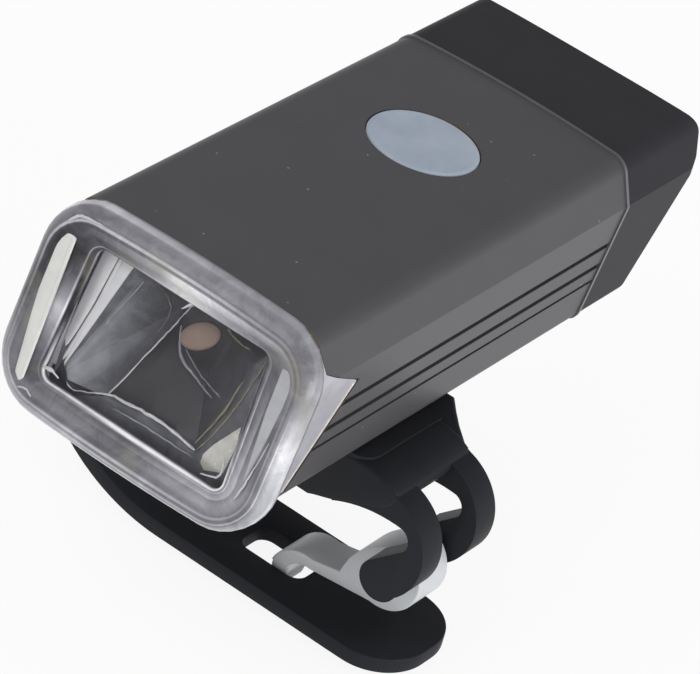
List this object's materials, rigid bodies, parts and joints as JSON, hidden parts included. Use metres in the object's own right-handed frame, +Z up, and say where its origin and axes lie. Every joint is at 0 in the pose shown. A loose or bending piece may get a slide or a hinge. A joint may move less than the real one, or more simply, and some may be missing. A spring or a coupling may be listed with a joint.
{
  "type": "bike light",
  "caption": "Rechargeable bicycle headlight: metal body with a wraparound clear lens and a top button on a swivelling rubber handlebar bracket with strap and latch.",
  "frame": {"origin": "middle of the handlebar saddle's top line, on the swivel's axis and the lamp's centre plane", "axes": "+X to the right seen from the front, towards the latch; +Y from the lens to the tail; +Z up; the beam leaves along -Y"},
  "size_m": [0.0758, 0.1061, 0.0639],
  "materials": {
    "shell_metal": "fine bead-blasted, dark grey anodised aluminium",
    "trim_metal": "thin turned edge, lighter satin anodised",
    "clear_plastic": "clear moulded polycarbonate, polished",
    "mirror_plastic": "vacuum-metallised plastic",
    "seal_rubber": "soft silicone ring",
    "board_metal": "metal-core board, white solder mask",
    "led_phosphor": "phosphor under clear silicone",
    "plain_metal": "plain cut aluminium",
    "inner_plastic": "black moulded plastic",
    "cell_wrap": "shrink-wrapped foil",
    "board_green": "green solder mask",
    "button_plastic": "translucent satin silicone, pale blue-grey",
    "cap_plastic": "fine-textured dark grey plastic",
    "steel": "plated steel",
    "rubber": "matt dark grey rubber",
    "latch_plastic": "translucent grey nylon"
  },
  "bodies": {
    "bracket": {"bracket": "rubber", "bracket_core": "inner_plastic", "latch_pin": "steel", "strap_pin": "steel"},
    "lamp": {"body_shell": "shell_metal", "front_lens": "clear_plastic", "lens_seal": "seal_rubber", "reflector": "mirror_plastic", "led_board": "board_metal", "led_emitter": "led_phosphor", "heat_spreader": "plain_metal", "battery_tray": "inner_plastic", "battery_cell": "cell_wrap", "main_board": "board_green", "switch_body": "inner_plastic", "indicator_led": "led_phosphor", "rear_trim": "trim_metal", "rear_cap": "cap_plastic", "usb_socket": "steel", "swivel_base": "cap_plastic", "swivel_screw": "steel", "swivel_nut": "steel"},
    "button": {"mode_button": "button_plastic"},
    "plunger": {"switch_plunger": "inner_plastic"},
    "cover": {"usb_cover": "rubber"},
    "latch": {"latch": "latch_plastic"},
    "strap": {"strap": "rubber"}
  },
  "joints": [
    {"name": "swivel", "type": "hinge", "parent": "bracket", "child": "lamp", "pos_m": [0, 0, 0.0043], "axis": [0, 0, 1], "range_deg": [-90, 90]},
    {"name": "button_press", "type": "slide", "parent": "lamp", "child": "button", "axis": [0, 0, -1], "range_m": [0, 0.0005], "stiffness_N_per_m": 2000, "springref_m": -0.0008},
    {"name": "plunger_press", "type": "slide", "parent": "lamp", "child": "plunger", "axis": [0, 0, -1], "range_m": [0, 0.0005]},
    {"name": "cover_hinge", "type": "hinge", "parent": "lamp", "child": "cover", "pos_m": [0, 0.06016, 0.02467], "axis": [1, 0, 0], "range_deg": [0, 100]},
    {"name": "latch_pivot", "type": "hinge", "parent": "bracket", "child": "latch", "pos_m": [0.0287, -0.0025, -0.0108], "axis": [0, 1, 0], "range_deg": [0, 35]},
    {"name": "strap_swing", "type": "hinge", "parent": "bracket", "child": "strap", "pos_m": [-0.0365, -0.0025, -0.0031], "axis": [0, 1, 0], "range_deg": [0, 55]}
  ],
  "couplings": [
    {"joint": "plunger_press", "follows": "button_press", "ratio": 1}
  ]
}
